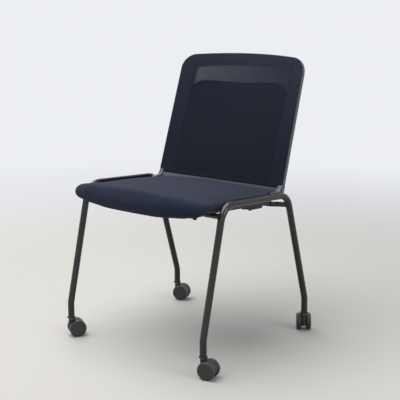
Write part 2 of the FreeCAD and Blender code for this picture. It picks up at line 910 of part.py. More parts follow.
# Lower rail with small feet that reach forward beside the seat's rear corners
def makeBackRail():
    body = newBody("back_rail")
    view = newSketch(body, "XZ_Plane")
    half = size("backHalfWidthBottom")
    top = size("ringBottom")
    addOutline(view, mirrored([(half, 0.0, size("backFootRadius")), (sideAt(top, 0.0), top)]))
    addPad(body, view, size("ringDepth"), symmetric=False)
    reach, thick, rise = size("wingReach"), size("wingThickness"), size("wingRise")
    leanSine, leanCosine = sineOf(size("backAngle")), cosineOf(size("backAngle"))
    depth = size("ringDepth")
    tipY = -depth / 2 - leanCosine * reach
    tipZ = -leanSine * reach
    for left in (wingInner(), -(wingInner() + size("wingWidth"))):
        profile = newSketch(body, "YZ_Plane", left)
        addOutline(
            profile,
            [
                (-depth / 2, size("backFootRadius") / 2),
                (-depth / 2, rise),
                (-depth + size("holeGap"), rise),
                (-depth - size("wingShoulder"), thick, size("wingShoulderRadius")),
                (tipY - leanSine * thick, tipZ + leanCosine * thick, size("wingTipRadius")),
                (tipY, tipZ, size("wingTipRadius")),
            ],
        )
        addPad(body, profile, size("wingWidth"), symmetric=False)
    holes = newSketch(body, "XZ_Plane")
    for side in (-1, 1):
        for x in tongueSpots(side):
            addCircle(holes, x, size("tongueScrewRise"), size("screwShank") / 2 + size("holeGap"))
    addPocket(body, holes, size("tongueScrewBite"), symmetric=False).Reversed = True
    placeOnBack(body)
    keep(body, "back_rail")


# The mesh hangs a little over the rail and is notched around the rail's feet
def makeBackMesh():
    body = newBody("back_mesh")
    near = size("ringDepth") + size("meshGap")
    makeBackSlab(body, near, near + size("meshThickness"))
    foot = size("ringBottom") + size("restGap")
    notchX = wingInner() - size("restGap")
    tongue = (notchX, size("meshFoot")), (notchX, foot)
    trimOutside(body, archOutline(foot, 0.0, 0.0, size("backCornerRadius"), size("backCrownRadius"), tongue))
    placeOnBack(body)
    keep(body, "back_mesh")


def makeBackPad():
    body = newBody("back_pad")
    makeBackSlab(body, size("restGap"), size("ringDepth") - size("restGap"))
    trimOutside(body, padOutline(size("ringBottom") + size("restGap"), size("padTop"), size("restGap")))
    placeOnBack(body)
    keep(body, "back_pad")


# A thin board behind the pad, lapped over the frame's rear face
def makeBackBoard():
    body = newBody("back_board")
    makeBackSlab(body, -(size("meshGap") + size("boardThickness")), -size("meshGap"))
    overlap = size("boardOverlap")
    trimOutside(body, padOutline(size("tongueLength") + size("boardClearance"), size("padTop") - overlap, -overlap))
    placeOnBack(body)
    keep(body, "back_board")


# Casters: a socket and stem fixed in the leg, a swivelling hood, an axle and two wheels
wheelRadius = size("wheelDiameter") / 2
hoodHalf = size("hoodWidth") / 2
wheelInner = hoodHalf + size("wheelGap")
wheelOuter = wheelInner + size("wheelWidth")
axleEnd = wheelOuter - size("axleEndWall")
socketBottom = size("tubeEndHeight") - size("socketFlangeHeight")
stemRadius = size("stemDiameter") / 2


def makeCasterSocket(x, y, label):
    body = newBody(label)
    profile = newSketch(body, "XZ_Plane")
    bore = stemRadius + size("pressGap")
    sleeve = tubeRadius - size("tubeWall") - size("socketGap")
    flange = size("socketFlangeDiameter") / 2
    addOutline(
        profile,
        [
            (bore, socketBottom),
            (flange, socketBottom, size("flangeEdge")),
            (flange, size("tubeEndHeight"), size("flangeEdge")),
            (sleeve, size("tubeEndHeight")),
            (sleeve, size("tubeEndHeight") + size("socketDepth"), size("turnedEdge")),
            (bore, size("tubeEndHeight") + size("socketDepth")),
        ],
    )
    addTurned(body, profile)
    place(body, x, y, 0.0)
    keep(body, label)


def makeCasterStem(x, y, label):
    body = newBody(label)
    profile = newSketch(body, "XZ_Plane")
    shoulder = size("hoodTop") + size("wheelGap")
    collar = size("stemCollarDiameter") / 2
    foot = size("hoodTop") - size("stemInHood")
    addOutline(
        profile,
        [
            (0.0, foot),
            (stemRadius, foot, size("turnedEdge")),
            (stemRadius, shoulder),
            (collar, shoulder, size("turnedEdge")),
            (collar, socketBottom),
            (stemRadius, socketBottom),
            (stemRadius, socketBottom + size("stemInSocket"), size("turnedEdge")),
            (0.0, socketBottom + size("stemInSocket")),
        ],
    )
    addTurned(body, profile)
    place(body, x, y, 0.0)
    keep(body, label)


def placeOnCaster(thing, x, y, turn, along=0.0, up=0.0, flip=0.0):
    """Turns a caster piece about its stem, set back along the trail."""
    along = measure(along)
    place(
        thing,
        x + cosineOf(turn) * along,
        y + sineOf(turn) * along,
        up,
        axis=FreeCAD.Vector(0, 0, 1),
        angle=turn + flip,
    )


def makeCasterHood(x, y, turn, label):
    body = newBody(label)
    side = newSketch(body, "XZ_Plane")
    trail = size("casterTrail")
    top, floor, cover = size("hoodTop"), size("hoodFloor"), size("hoodCover")
    bend, edge = size("hoodRadius"), size("hoodEdgeRadius")
    heel = floor + size("hoodHeelRise")
    addOutline(
        side,
        [
            (0.0, heel),
            (trail - size("hoodHeelReach"), floor, edge),
            (trail + size("hoodToeReach"), floor, edge),
            (trail + cover, wheelRadius - size("hoodHeelReach"), bend),
            (trail + cover, wheelRadius + size("hoodShoulder"), bend),
            (trail + size("hoodShoulder"), wheelRadius + cover, bend),
            (stemRadius * 2, top, edge),
            (0.0, top),
        ],
    )
    addPad(body, side, size("hoodWidth"))
    boss = newSketch(body, "XY_Plane", heel)
    addCircle(boss, 0.0, 0.0, hoodHalf)
    addPad(body, boss, top - heel, symmetric=False)
    bore = newSketch(body, "XY_Plane", top)
    addCircle(bore, 0.0, 0.0, stemRadius + size("runningGap"))
    addPocket(body, bore, size("stemInHood") + size("wheelGap"), symmetric=False)
    cross = newSketch(body, "XZ_Plane")
    addCircle(cross, trail, wheelRadius, size("axleDiameter") / 2 + size("pressGap"))
    addPocket(body, cross, size("hoodWidth") * 2)
    placeOnCaster(body, x, y, turn)
    keep(body, label)


def makeCasterAxle(x, y, turn, label):
    body = newBody(label)
    profile = newSketch(body, "XZ_Plane")
    addCircle(profile, 0.0, 0.0, size("axleDiameter") / 2)
    addPad(body, profile, axleEnd * 2)
    placeOnCaster(body, x, y, turn, size("casterTrail"), wheelRadius)
    keep(body, label)


def makeCasterWheel(x, y, turn, flip, label):
    body = newBody(label)
    profile = newSketch(body, "XY_Plane")
    bore = size("axleDiameter") / 2 + size("runningGap")
    hub = size("wheelHubDiameter") / 2
    rim = wheelRadius - size("wheelRim")
    web = wheelOuter - size("wheelFace")
    bevel = size("wheelBevel")
    tread, corner = size("wheelTreadRadius"), size("wheelCornerRadius")
    addOutline(
        profile,
        [
            (bore, wheelInner),
            (hub, wheelInner, corner),
            (hub, web, corner),
            (rim, web, corner),
            (rim, wheelInner, corner),
            (wheelRadius, wheelInner, tread),
            (wheelRadius, wheelOuter - bevel, tread),
            (wheelRadius - bevel, wheelOuter, tread),
            (0.0, wheelOuter),
            (0.0, axleEnd + size("wheelGap")),
            (bore, axleEnd + size("wheelGap")),
        ],
    )
    addTurned(body, profile)
    placeOnCaster(body, x, y, turn, size("casterTrail"), wheelRadius, flip)
    keep(body, label)


for side, sideName in ((-1, "left"), (1, "right")):
    makeSideFrame(side, "side_frame_" + sideName)
legCores = makeLegCores()
makeFrontCross(legCores)
makeRearCross(legCores)
makeSeatPan()
makeSeatCushion()
for side, sideName in ((-1, "left"), (1, "right")):
    makeSeatClamp(side, "seat_clamp_" + sideName)
    makeStackingBumper(side, "stacking_bumper_" + sideName)
    makeBackArm(side, "back_arm_" + sideName)
makeSeatScrews()
makeBackRail()
makeBackFrame()
makeBackScrews()
makeBackMesh()
makeBackPad()
makeBackBoard()
for side, sideName in ((-1, "left"), (1, "right")):
    for end, endName in ((-1, "front"), (1, "rear")):
        x, y = halfSpan * side, halfDepth * end
        placeName = endName + "_" + sideName
        turn = size("swivel" + endName.title() + sideName.title())
        makeCasterSocket(x, y, "caster_socket_" + placeName)
        makeCasterStem(x, y, "caster_stem_" + placeName)
        makeCasterHood(x, y, turn, "caster_hood_" + placeName)
        makeCasterAxle(x, y, turn, "caster_axle_" + placeName)
        makeCasterWheel(x, y, turn, 0.0, "caster_wheel_a_" + placeName)
        makeCasterWheel(x, y, turn, 180.0, "caster_wheel_b_" + placeName)

doc.recompute()

for thing in doc.Objects:
    if "Invalid" in thing.State or "Error" in thing.State:
        raise RuntimeError("%s failed: %s" % (thing.Label, thing.State))
for thing in subparts:
    if thing.Shape.isNull() or not thing.Shape.isValid() or not thing.Shape.Solids:
        raise RuntimeError("%s has no valid solid" % thing.Label)

os.makedirs("parts", exist_ok=True)
for thing in subparts:
    thing.Shape.exportStep("parts/%s.step" % thing.Label)
    print("%-34s %d solid, %.1f cm3" % (thing.Label, len(thing.Shape.Solids), thing.Shape.Volume / 1000))
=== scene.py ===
import math

import bmesh
import bpy
import numpy as np
from mathutils import Matrix, Vector


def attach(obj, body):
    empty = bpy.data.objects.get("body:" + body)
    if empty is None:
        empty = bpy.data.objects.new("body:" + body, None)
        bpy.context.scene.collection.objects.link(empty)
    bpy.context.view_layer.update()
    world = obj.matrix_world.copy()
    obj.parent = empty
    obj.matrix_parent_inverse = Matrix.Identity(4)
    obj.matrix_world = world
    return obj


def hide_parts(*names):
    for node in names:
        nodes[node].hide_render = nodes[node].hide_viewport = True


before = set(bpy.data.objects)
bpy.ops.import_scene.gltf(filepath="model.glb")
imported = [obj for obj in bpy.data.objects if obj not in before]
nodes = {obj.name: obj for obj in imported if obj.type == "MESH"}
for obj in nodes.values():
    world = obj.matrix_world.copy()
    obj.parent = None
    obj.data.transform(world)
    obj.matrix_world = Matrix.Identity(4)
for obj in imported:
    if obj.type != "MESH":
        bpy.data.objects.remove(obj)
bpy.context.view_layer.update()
print("frame loaded:", len(nodes), "nodes")

mm = 0.001


# Shared helpers

def toLinear(hexColour):
    channels = [int(hexColour[i:i + 2], 16) / 255 for i in (1, 3, 5)]
    return [c / 12.92 if c <= 0.04045 else ((c + 0.055) / 1.055) ** 2.4 for c in channels] + [1.0]


def addNode(tree, kind, inputs=None, **settings):
    node = tree.nodes.new(kind)
    for name, value in settings.items():
        setattr(node, name, value)
    for key, value in (inputs or {}).items():
        if isinstance(value, bpy.types.NodeSocket):
            tree.links.new(value, node.inputs[key])
        else:
            node.inputs[key].default_value = value
    return node


def calc(tree, operation, *values):
    inputs = {i: value for i, value in enumerate(values)}
    return addNode(tree, "ShaderNodeMath", inputs, operation=operation).outputs[0]


def startMaterial(name, colour, roughness, metallic=0.0, ior=1.5):
    material = bpy.data.materials.new(name)
    material.use_nodes = True
    shader = material.node_tree.nodes["Principled BSDF"]
    shader.inputs["Base Color"].default_value = toLinear(colour)
    shader.inputs["Roughness"].default_value = roughness
    shader.inputs["Metallic"].default_value = metallic
    if not metallic:
        shader.inputs["IOR"].default_value = ior
    return material, material.node_tree, shader


def shade(tree, shader, amount, dark, light):
    # blends two finish colours by a pattern from 0 to 1
    blend = addNode(tree, "ShaderNodeMix", {0: amount, 6: toLinear(dark), 7: toLinear(light)}, data_type="RGBA")
    tree.links.new(blend.outputs[2], shader.inputs["Base Color"])


def vary(tree, shader, amount, low, high):
    # roughness runs between two values by a pattern from 0 to 1
    spread = addNode(tree, "ShaderNodeMapRange", {0: amount, 3: low, 4: high})
    tree.links.new(spread.outputs[0], shader.inputs["Roughness"])


def emboss(tree, shader, height, depth):
    # a pattern from 0 to 1 stands up by the given depth
    bump = addNode(tree, "ShaderNodeBump", {"Height": height, "Distance": depth, "Strength": 1.0})
    tree.links.new(bump.outputs[0], shader.inputs["Normal"])


def swing(tree, tone, pattern, depth):
    # a pattern from 0 to 1 lightens and darkens the tone by half the given depth
    return calc(tree, "MULTIPLY", tone, calc(tree, "MULTIPLY_ADD", pattern, depth, 1 - depth / 2))


def objectPlace(tree):
    return addNode(tree, "ShaderNodeTexCoord").outputs["Object"]


def cloud(tree, place, size, detail=2.0, rough=0.5):
    # noise whose features are about the given size in metres
    inputs = {"Vector": place, "Scale": 1 / size, "Detail": detail, "Roughness": rough}
    return addNode(tree, "ShaderNodeTexNoise", inputs).outputs[0]


def shadeSmooth(piece):
    for face in piece.data.polygons:
        face.use_smooth = True


def newPiece(name, mesh, material):
    piece = bpy.data.objects.new(name, mesh)
    bpy.context.scene.collection.objects.link(piece)
    mesh.materials.clear()
    mesh.materials.append(material)
    shadeSmooth(piece)
    return piece


def meshFrom(name, corners, faces):
    mesh = bpy.data.meshes.new(name)
    mesh.from_pydata([tuple(c) for c in corners], [], faces)
    mesh.update()
    return mesh


def bake(piece):
    # turns an object with live modifiers into a plain mesh
    graph = bpy.context.evaluated_depsgraph_get()
    mesh = bpy.data.meshes.new_from_object(piece.evaluated_get(graph), depsgraph=graph)
    piece.modifiers.clear()
    old = piece.data
    piece.data = mesh
    bpy.data.meshes.remove(old)
    return piece


def refine(piece):
    finer = piece.modifiers.new("Subdivision", "SUBSURF")
    finer.levels = finer.render_levels = 1
    bake(piece)
    shadeSmooth(piece)


def settle(piece, body, replaced=()):
    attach(piece, body)
    if replaced:
        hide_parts(*replaced)
    return piece


def mergedCopy(nodeName):
    mesh = nodes[nodeName].data.copy()
    shape = bmesh.new()
    shape.from_mesh(mesh)
    bmesh.ops.remove_doubles(shape, verts=shape.verts, dist=0.005 * mm)
    return mesh, shape


# Materials, each from what the real finish is

coat = {
    "colour": "#1b1a1c", "worn": "#201e20", "patch": 90 * mm, "roughness": 0.2, "flow": 60 * mm,
    "peel": 1.3 * mm, "peelDepth": 0.006 * mm,
}


def satinPowderCoat():
    # black polyester powder coat: a soft broad highlight, faint orange peel
    material, tree, shader = startMaterial("satin black powder coat", coat["colour"], coat["roughness"])
    place = objectPlace(tree)
    shade(tree, shader, cloud(tree, place, coat["patch"]), coat["colour"], coat["worn"])
    vary(tree, shader, cloud(tree, place, coat["flow"]), coat["roughness"] - 0.02, coat["roughness"] + 0.03)
    emboss(tree, shader, cloud(tree, place, coat["peel"]), coat["peelDepth"])
    return material


plastic = {
    "colour": "#222124", "light": "#29282b", "patch": 30 * mm, "roughness": 0.52, "flow": 8 * mm,
    "grain": 0.9 * mm, "grainDepth": 0.04 * mm,
}


def mouldedPolypropylene():
    # black injection moulding with a spark-eroded grain that dulls the gloss
    rough = plastic["roughness"]
    material, tree, shader = startMaterial("moulded black polypropylene", plastic["colour"], rough)
    place = objectPlace(tree)
    shade(tree, shader, cloud(tree, place, plastic["patch"]), plastic["colour"], plastic["light"])
    vary(tree, shader, cloud(tree, place, plastic["flow"]), rough - 0.04, rough + 0.08)
    emboss(tree, shader, cloud(tree, place, plastic["grain"], 3.0, 0.6), plastic["grainDepth"])
    return material


backNylon = {
    "colour": "#45464d", "light": "#4f5058", "patch": 26 * mm, "roughness": 0.44,
    "grain": 0.8 * mm, "grainDepth": 0.03 * mm,
}


def mouldedFrameNylon():
    # dark grey glass-filled nylon, satin, paler than the knit that covers it
    rough = backNylon["roughness"]
    material, tree, shader = startMaterial("moulded grey nylon", backNylon["colour"], rough, ior=1.53)
    place = objectPlace(tree)
    shade(tree, shader, cloud(tree, place, backNylon["patch"]), backNylon["colour"], backNylon["light"])
    emboss(tree, shader, cloud(tree, place, backNylon["grain"], 3.0, 0.6), backNylon["grainDepth"])
    return material


wheelNylon = {
    "colour": "#232225", "scuffed": "#302f32", "roughness": 0.38, "scuff": 3.5 * mm, "depth": 0.03 * mm,
}


def casterWheelNylon():
    # unfilled dark grey nylon: a slightly waxy gloss with fine scuffs from rolling
    rough = wheelNylon["roughness"]
    material, tree, shader = startMaterial("caster wheel nylon", wheelNylon["colour"], rough, ior=1.53)
    place = objectPlace(tree)
    scuff = cloud(tree, place, wheelNylon["scuff"], 4.0, 0.65)
    shade(tree, shader, scuff, wheelNylon["colour"], wheelNylon["scuffed"])
    vary(tree, shader, scuff, rough - 0.05, rough + 0.12)
    emboss(tree, shader, scuff, wheelNylon["depth"])
    return material


zinc = {"colour": "#8e8f94", "roughness": 0.34, "spangle": 2.0 * mm}


def zincPlatedSteel():
    # bright zinc on a turned pin: cool grey, fine cloudy spangle
    material, tree, shader = startMaterial("zinc plated steel", zinc["colour"], zinc["roughness"], metallic=1.0)
    spangle = cloud(tree, objectPlace(tree), zinc["spangle"], 3.0)
    vary(tree, shader, spangle, zinc["roughness"] - 0.08, zinc["roughness"] + 0.1)
    return material


blackened = {"colour": "#3a3a3c", "roughness": 0.42, "bloom": 1.5 * mm}


def blackOxideSteel():
    # black oxide on a steel screw: dark metal with a matt bloom
    rough = blackened["roughness"]
    material, tree, shader = startMaterial("black oxide steel", blackened["colour"], rough, metallic=1.0)
    bloom = cloud(tree, objectPlace(tree), blackened["bloom"], 3.0)
    vary(tree, shader, bloom, rough - 0.08, rough + 0.14)
    return material


rubber = {
    "colour": "#1d1d1e", "dusty": "#2a2a2b", "dust": 5 * mm, "roughness": 0.78,
    "grain": 0.7 * mm, "depth": 0.05 * mm,
}


def bumperRubber():
    # black EPDM rubber: matt, a little dusty
    rough = rubber["roughness"]
    material, tree, shader = startMaterial("black bumper rubber", rubber["colour"], rough, ior=1.52)
    place = objectPlace(tree)
    shade(tree, shader, cloud(tree, place, rubber["dust"], 4.0), rubber["colour"], rubber["dusty"])
    emboss(tree, shader, cloud(tree, place, rubber["grain"], 3.0), rubber["depth"])
    return material


def knitPattern(tree, across, along, wale, course):
    # stocking stitch: columns of small v shapes, 0 in the gaps and 1 on the yarn
    column = calc(tree, "FRACT", calc(tree, "DIVIDE", across, wale))
    fromMiddle = calc(tree, "ABSOLUTE", calc(tree, "SUBTRACT", column, 0.5))
    slant = calc(tree, "ADD", calc(tree, "DIVIDE", along, course), calc(tree, "MULTIPLY", fromMiddle, 1.6))
    row = calc(tree, "SINE", calc(tree, "MULTIPLY", slant, math.tau))
    row = calc(tree, "MULTIPLY_ADD", row, 0.5, 0.5)
    groove = calc(tree, "SUBTRACT", 1.0, calc(tree, "POWER", calc(tree, "MULTIPLY", fromMiddle, 2.0), 6.0))
    return calc(tree, "MULTIPLY", row, groove)


def softSheen(shader, knit):
    # the fibres' faint bloom, and little gloss
    shader.inputs["Sheen Weight"].default_value = knit["sheen"]
    shader.inputs["Sheen Roughness"].default_value = 0.45
    shader.inputs["Specular IOR Level"].default_value = knit["specular"]


def weavePlace(tree):
    place = addNode(tree, "ShaderNodeUVMap", uv_map="weave").outputs[0]
    apart = addNode(tree, "ShaderNodeSeparateXYZ", {0: place})
    return place, apart.outputs[0], apart.outputs[1]


# Real wales are about 1.4 mm; the pattern is drawn twice as coarse so that it shows at this image size
seatKnit = {
    "gap": "#151925", "yarn": "#333b52", "wale": 2.8 * mm, "course": 2.2 * mm, "depth": 0.25 * mm,
    "fleck": 1.1 * mm, "mottle": 5 * mm, "cast": 60 * mm, "roughness": 0.88, "sheen": 0.06, "specular": 0.12,
}


def seatFabric():
    # navy polyester knit over foam: matt, with a faint bloom where it turns away
    material, tree, shader = startMaterial("navy upholstery knit", seatKnit["yarn"], seatKnit["roughness"])
    place, across, along = weavePlace(tree)
    fleck = cloud(tree, place, seatKnit["fleck"], 2.0)
    yarn = knitPattern(tree, across, along, seatKnit["wale"], seatKnit["course"])
    tone = swing(tree, yarn, fleck, 0.7)
    tone = swing(tree, tone, cloud(tree, place, seatKnit["cast"], 2.0), 0.3)
    tone = swing(tree, tone, cloud(tree, place, seatKnit["mottle"], 3.0, 0.6), 0.9)
    shade(tree, shader, tone, seatKnit["gap"], seatKnit["yarn"])
    emboss(tree, shader, calc(tree, "ADD", yarn, calc(tree, "MULTIPLY", fleck, 0.5)), seatKnit["depth"])
    softSheen(shader, seatKnit)
    return material


# The back panel, measured up its own slope from its lower edge, as in the part's source
back = {
    "foot": Vector((0, 141.6 * mm, 427.12 * mm)),
    "lean": math.radians(22.404),
    "halfFoot": 236.5 * mm,
    "halfTop": 228.5 * mm,
    "height": 422 * mm,
    "crown": 22 * mm,
    "corner": 52 * mm,
    "hollow": 44.2 * mm,
    "hollowHalf": 260.5 * mm,
    "flatBelow": 21 * mm,
    "ringSide": 48 * mm,
    "padFoot": 34 * mm,
    "padTop": 330 * mm,
    "padCorner": 46 * mm,
    "sheetNear": 14.15 * mm,
    "sheetThick": 0.8 * mm,
    "bulge": 3.0 * mm,
    "cell": 4.2 * mm,
}
backUp = Vector((0, math.sin(back["lean"]), math.cos(back["lean"])))
backRear = Vector((0, math.cos(back["lean"]), -math.sin(back["lean"])))


def backHalf(height):
    return back["halfFoot"] + (back["halfTop"] - back["halfFoot"]) * height / back["height"]


def backPoint(x, height, forward):
    # a point on the hollowed panel: across, up the slope, and forward of its rear face
    radius = (back["hollowHalf"] ** 2 + back["hollow"] ** 2) / (2 * back["hollow"])
    share = max(0.0, (height - back["flatBelow"]) / (back["height"] + 2 * mm - back["flatBelow"]))
    dip = share * (radius - math.sqrt(radius * radius - x * x))
    return back["foot"] + Vector((x, 0, 0)) + backUp * height - backRear * (forward + dip)


def padBulge(x, height):
    side = backHalf(height) - back["ringSide"]
    low, high = back["padFoot"], back["padTop"]
    if abs(x) >= side or height <= low or height >= high:
        return 0.0
    share = (1 - (x / side) ** 4) * (1 - ((2 * height - low - high) / (high - low)) ** 4)
    return back["bulge"] * share


# The real knit is about half as coarse; it is drawn larger so that it shows at this image size
# the last numbers set the painted light that makes the knit over the frame paler towards the top
backKnit = {
    "gap": "#0d0f16", "yarn": "#262b3b", "overFrame": "#3b4155", "wale": 2.6 * mm, "course": 2.0 * mm,
    "depth": 0.18 * mm, "fleck": 1.2 * mm, "mottle": 4 * mm, "roughness": 0.85, "sheen": 0.04, "specular": 0.1,
    "paintedLightFrom": 120 * mm, "paintedLightTo": 380 * mm, "leastPaintedLight": 0.25, "blendWidth": 2 * mm,
}
knitSheet = {
    "lowest": 20.6 * mm, "notchTop": 30.5 * mm, "notchSide": 220.9 * mm,
    "crownRadius": 1130 * mm, "crownSlope": 0.158,
}


def pastCorner(tree, across, along, side, top):
    # how far a place lies beyond a rectangle that is open downwards: round its corners, straight beside it
    beside = calc(tree, "MAXIMUM", calc(tree, "SUBTRACT", calc(tree, "ABSOLUTE", across), side), 0.0)
    above = calc(tree, "MAXIMUM", calc(tree, "SUBTRACT", along, top), 0.0)
    squares = calc(tree, "ADD", calc(tree, "POWER", beside, 2.0), calc(tree, "POWER", above, 2.0))
    return calc(tree, "SQRT", squares)


def backFabric():
    # open navy mesh knit: darker where the black pad lies behind it, paler over the grey frame; that paleness
    # fades towards the foot, which is painted light
    material, tree, shader = startMaterial("navy mesh knit", backKnit["yarn"], backKnit["roughness"])
    place, across, along = weavePlace(tree)
    narrowing = (back["halfFoot"] - back["halfTop"]) / back["height"]
    straight = back["halfFoot"] - back["ringSide"] - back["padCorner"]
    side = calc(tree, "SUBTRACT", straight, calc(tree, "MULTIPLY", along, narrowing))
    reach = pastCorner(tree, across, along, side, back["padTop"] - back["padCorner"])
    start = back["padCorner"] - backKnit["blendWidth"] / 2
    rim = {0: reach, 1: start, 2: start + backKnit["blendWidth"]}
    frameAndPaintedLight = addNode(tree, "ShaderNodeMapRange", rim).outputs[0]
    frameAndPaintedLight = calc(tree, "MAXIMUM", frameAndPaintedLight, calc(tree, "LESS_THAN", along, knitSheet["notchTop"]))
    # painted light: paler towards the top, where more light falls on the knit and the frame behind it
    span = {0: along, 1: backKnit["paintedLightFrom"], 2: backKnit["paintedLightTo"], 3: backKnit["leastPaintedLight"], 4: 1.0}
    frameAndPaintedLight = calc(tree, "MULTIPLY", frameAndPaintedLight, addNode(tree, "ShaderNodeMapRange", span).outputs[0])
    fleck = cloud(tree, place, backKnit["fleck"], 2.0)
    yarn = knitPattern(tree, across, along, backKnit["wale"], backKnit["course"])
    tone = swing(tree, yarn, fleck, 0.7)
    tone = swing(tree, tone, cloud(tree, place, backKnit["mottle"], 3.0, 0.6), 0.8)
    colours = {0: frameAndPaintedLight, 6: toLinear(backKnit["yarn"]), 7: toLinear(backKnit["overFrame"])}
    shown = addNode(tree, "ShaderNodeMix", colours, data_type="RGBA").outputs[2]
    blend = addNode(tree, "ShaderNodeMix", {0: tone, 6: toLinear(backKnit["gap"]), 7: shown}, data_type="RGBA")
    tree.links.new(blend.outputs[2], shader.inputs["Base Color"])
    emboss(tree, shader, calc(tree, "ADD", yarn, calc(tree, "MULTIPLY", fleck, 0.4)), backKnit["depth"])
    softSheen(shader, backKnit)
    return material


finishes = {
    "coat": satinPowderCoat(),
    "plastic": mouldedPolypropylene(),
    "nylon": mouldedFrameNylon(),
    "wheel": casterWheelNylon(),
    "zinc": zincPlatedSteel(),
    "screw": blackOxideSteel(),
    "rubber": bumperRubber(),
    "seat": seatFabric(),
    "back": backFabric(),
}
print("materials made:", len(finishes))

finishOf = {
    "side_frame": "coat", "front_cross": "coat", "rear_cross": "coat", "seat_pan": "plastic",
    "seat_cushion": "seat", "seat_clamp": "plastic", "stacking_bumper": "rubber", "back_arm": "plastic",
    "seat_screws": "screw", "back_rail": "nylon", "back_frame": "nylon", "back_screws": "screw",
    "back_mesh": "back", "back_pad": "seat", "back_board": "plastic", "caster_socket": "plastic",
    "caster_stem": "zinc", "caster_hood": "plastic", "caster_axle": "zinc", "caster_wheel": "wheel",
}
for name, node in nodes.items():
    finish = next(finishes[f] for stem, f in finishOf.items() if name.startswith(stem))
    for slot in node.material_slots:
        slot.material = finish


# Camera at the photograph's viewing angle

camera = {
    "place": (1.721, -2.022, 0.946), "azimuth": 39.67, "elevation": 11.45,
    "focalPixels": 926, "imagePixels": 400, "sensor": 36,
}


def makeCamera():
    data = bpy.data.cameras.new("camera")
    data.sensor_width = camera["sensor"]
    data.lens = camera["focalPixels"] / camera["imagePixels"] * camera["sensor"]
    viewer = bpy.data.objects.new("camera", data)
    bpy.context.scene.collection.objects.link(viewer)
    azimuth, elevation = math.radians(camera["azimuth"]), math.radians(camera["elevation"])
    level = Vector((-math.sin(azimuth), math.cos(azimuth), 0))
    forward = level * math.cos(elevation) - Vector((0, 0, math.sin(elevation)))
    viewer.location = camera["place"]
    viewer.rotation_mode = "QUATERNION"
    viewer.rotation_quaternion = forward.to_track_quat("-Z", "Y")
    bpy.context.scene.camera = viewer


makeCamera()


# Seat cushion: the solid's shape, rounded by its foam and drawn tight by its cover

seat = {
    "origin": Vector((0, -164.25 * mm, 421 * mm)),
    "tilt": math.radians(-3.204),
    "voxel": 6 * mm,
    "easing": 5,
    "pressure": 4.0,
    "cap": 6 * mm,
    "restHeight": 17 * mm,
    "restBehind": 46 * mm,
    "edgeHeight": 45 * mm,
    "lipFrom": -62 * mm,
    "lipTo": -22 * mm,
    "lipCentre": (-70 * mm, 13 * mm),
    "lipRadius": 31 * mm,
    "plan": [
        (0, -101.4), (63, -98.8), (120, -91.9), (180, -80.1), (252, -60, 42), (252, -24, 6), (242, -10.5, 10),
        (242, 305, 14), (0, 305),
    ],
    "noseRound": 26 * mm,
    "fullness": 2.5,
    "sideRound": 15 * mm,
    "noseMiddle": 12.5 * mm,
    "bottom": 17.5 * mm,
    "cornerFrom": 120 * mm,
    "cornerTo": 240 * mm,
    "cornerDrop": 3 * mm,
    "cornerForward": 8 * mm,
}
backPad = {"voxel": 6 * mm, "easing": 6, "pressure": 3.0, "cap": 3 * mm, "behindKnit": 0.7 * mm}
cover = {"quality": 6, "mass": 0.3, "stiffness": 25, "frames": 20, "spreadRounds": 60}


def reskin(piece, voxel, rounds):
    # an even skin of small quads, softened
    remesh = piece.modifiers.new("Remesh", "REMESH")
    remesh.mode = "VOXEL"
    remesh.voxel_size = voxel
    bake(piece)
    soften = piece.modifiers.new("Smooth", "SMOOTH")
    soften.factor = 0.5
    soften.iterations = rounds
    return bake(piece)


def easedCopy(nodeName, voxel, rounds):
    mesh, shape = mergedCopy(nodeName)
    shape.to_mesh(mesh)
    shape.free()
    return reskin(newPiece(nodeName + "_soft", mesh, finishes["seat"]), voxel, rounds)


def evenOut(mesh, shift, rounds):
    # spreads each point's shift over its neighbours, so that the cover swells without creases
    edges = np.empty(len(mesh.edges) * 2, dtype=int)
    mesh.edges.foreach_get("vertices", edges)
    first, second = edges.reshape(-1, 2).T
    count = np.bincount(edges, minlength=len(shift))[:, None]
    for step in range(rounds):
        total = np.zeros_like(shift)
        np.add.at(total, first, shift[second])
        np.add.at(total, second, shift[first])
        shift = (shift + total / count) / 2
    return shift


def roundedLine(corners, steps=16):
    # a line through given corners, each (across, along, radius), rounded where the radius isn't zero
    points = [Vector(corners[0][:2])]
    for before, corner, after in zip(corners, corners[1:], corners[2:]):
        spot, radius = Vector(corner[:2]), corner[2]
        towards = (Vector(before[:2]) - spot).normalized()
        away = (Vector(after[:2]) - spot).normalized()
        half = towards.angle(away) / 2
        reach = radius / math.tan(half)
        centre = spot + (towards + away).normalized() * (radius / math.sin(half))
        start, end = spot + towards * reach - centre, spot + away * reach - centre
        turn = math.pi - 2 * half
        for k in range(steps + 1):
            share = k / steps
            arm = start * math.sin((1 - share) * turn) + end * math.sin(share * turn)
            points.append(centre + arm / math.sin(turn))
    return points


def nearestOn(edge, spot):
    best = None
    for a, b in zip(edge, edge[1:]):
        run = b - a
        if run.length_squared == 0:
            continue
        share = max(0.0, min(1.0, (spot - a).dot(run) / run.length_squared))
        near = a + run * share
        if best is None or (near - spot).length < (best - spot).length:
            best = near
    return best


